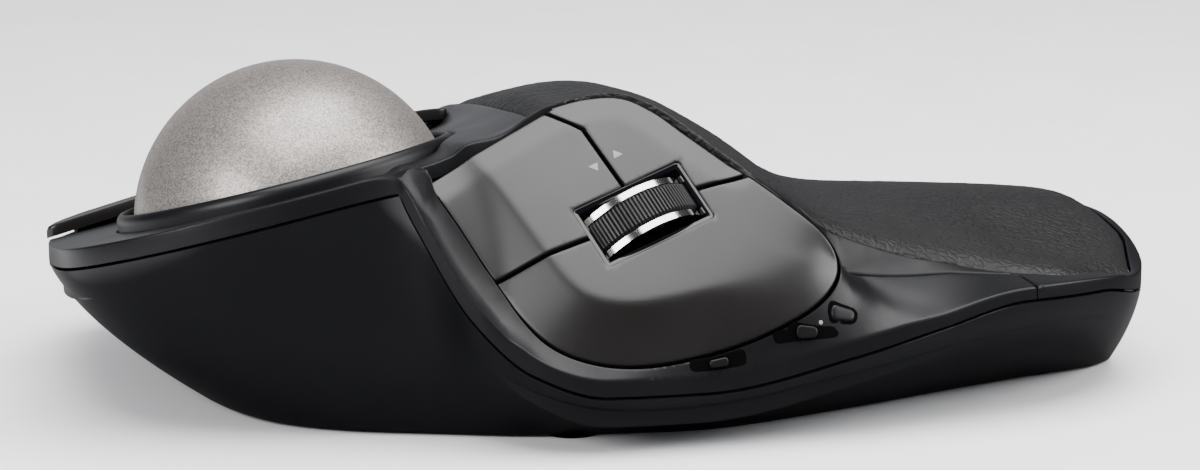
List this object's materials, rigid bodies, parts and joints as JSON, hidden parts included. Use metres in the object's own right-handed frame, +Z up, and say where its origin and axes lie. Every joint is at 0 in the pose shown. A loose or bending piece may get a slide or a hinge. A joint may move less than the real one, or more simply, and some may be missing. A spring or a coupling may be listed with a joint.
{
  "type": "trackball mouse",
  "caption": "Finger-operated trackball mouse with a large ball, thumb keys, tilting scroll wheel, wing keys and a padded palm rest.",
  "frame": {"origin": "centre of the bounding box, on the desk plane", "axes": "+Y away from the user, towards the ball end; +X to the user's right; +Z up"},
  "size_m": [0.116, 0.1815, 0.057],
  "materials": {
    "gloss_shell": "gloss",
    "satin_cover": "satin",
    "key_paint": "satin",
    "pad_leather": "grained",
    "inner_plastic": "matte",
    "bead": "polished",
    "clear_lens": "clear",
    "board": "solder mask",
    "cell_wrap": "film",
    "steel": "brushed",
    "foot_pad": "matte",
    "ball_finish": "speckled satin",
    "wheel_rubber": "ribbed",
    "chrome_ring": "polished"
  },
  "bodies": {
    "housing": {"base_shell": "gloss_shell", "top_cover": "satin_cover", "palm_base": "satin_cover", "palm_pad": "pad_leather", "ball_collar": "satin_cover", "ball_cup": "inner_plastic", "bearing_beads": "bead", "sensor_lens": "clear_lens", "sensor_board": "board", "main_board": "board", "thumb_board": "board", "right_board": "board", "battery": "cell_wrap", "usb_socket": "steel", "key_switches": "inner_plastic", "wheel_bracket": "inner_plastic", "light_pipe": "clear_lens", "feet": "foot_pad", "case_screws": "steel"},
    "ball": {"ball": "ball_finish"},
    "wheel_cradle": {"wheel_cradle": "inner_plastic"},
    "wheel_fork": {"wheel_fork": "inner_plastic", "wheel_axle": "steel"},
    "wheel": {"wheel_hub": "inner_plastic", "wheel_tyre": "wheel_rubber", "wheel_rings": "chrome_ring"},
    "left_key": {"left_key": "key_paint"},
    "back_key": {"back_key": "key_paint"},
    "forward_key": {"forward_key": "key_paint"},
    "right_key": {"right_key": "key_paint"},
    "fn1_key": {"fn1_key": "key_paint"},
    "fn2_key": {"fn2_key": "key_paint"},
    "fn3_key": {"fn3_key": "key_paint"},
    "pair_button": {"pair_button": "inner_plastic"},
    "dpi_slider": {"dpi_slider": "inner_plastic"},
    "power_slider": {"power_slider": "inner_plastic"}
  },
  "joints": [
    {"name": "ball_spin", "type": "hinge", "parent": "housing", "child": "ball", "pos_m": [-0.009, 0.052, 0.031], "axis": [1, 0, 0], "continuous": true},
    {"name": "wheel_tilt", "type": "hinge", "parent": "housing", "child": "wheel_cradle", "pos_m": [-0.03787, 0.00291, 0.03091], "axis": [0.1749, -0.9298, 0.3239], "range_deg": [-3.5, 3.5]},
    {"name": "wheel_press", "type": "slide", "parent": "wheel_cradle", "child": "wheel_fork", "axis": [0.7624, -0.0803, -0.6421], "range_m": [0, 0.0004]},
    {"name": "wheel_spin", "type": "hinge", "parent": "wheel_fork", "child": "wheel", "pos_m": [-0.03787, 0.00291, 0.03091], "axis": [0.623, 0.3592, 0.6949], "continuous": true},
    {"name": "left_key_press", "type": "slide", "parent": "housing", "child": "left_key", "axis": [0.7624, -0.0803, -0.6421], "range_m": [0, 0.0008]},
    {"name": "back_key_press", "type": "slide", "parent": "housing", "child": "back_key", "axis": [0.7624, -0.0803, -0.6421], "range_m": [0, 0.0008]},
    {"name": "forward_key_press", "type": "slide", "parent": "housing", "child": "forward_key", "axis": [0.7624, -0.0803, -0.6421], "range_m": [0, 0.0008]},
    {"name": "right_key_press", "type": "slide", "parent": "housing", "child": "right_key", "axis": [0, 0, -1], "range_m": [0, 0.0008]},
    {"name": "fn1_key_press", "type": "slide", "parent": "housing", "child": "fn1_key", "axis": [0, 0, -1], "range_m": [0, 0.0008]},
    {"name": "fn2_key_press", "type": "slide", "parent": "housing", "child": "fn2_key", "axis": [0, 0, -1], "range_m": [0, 0.0008]},
    {"name": "fn3_key_press", "type": "slide", "parent": "housing", "child": "fn3_key", "axis": [0, 0, -1], "range_m": [0, 0.0008]},
    {"name": "pair_press", "type": "slide", "parent": "housing", "child": "pair_button", "axis": [0.8288, 0.1498, -0.5392], "range_m": [0, 0.0005]},
    {"name": "dpi_slider_slide", "type": "slide", "parent": "housing", "child": "dpi_slider", "axis": [0.1787, -0.9839, 0.0013], "range_m": [0, 0.002]},
    {"name": "power_slider_slide", "type": "slide", "parent": "housing", "child": "power_slider", "axis": [0.1787, -0.9839, 0.0013], "range_m": [0, 0.002]}
  ]
}
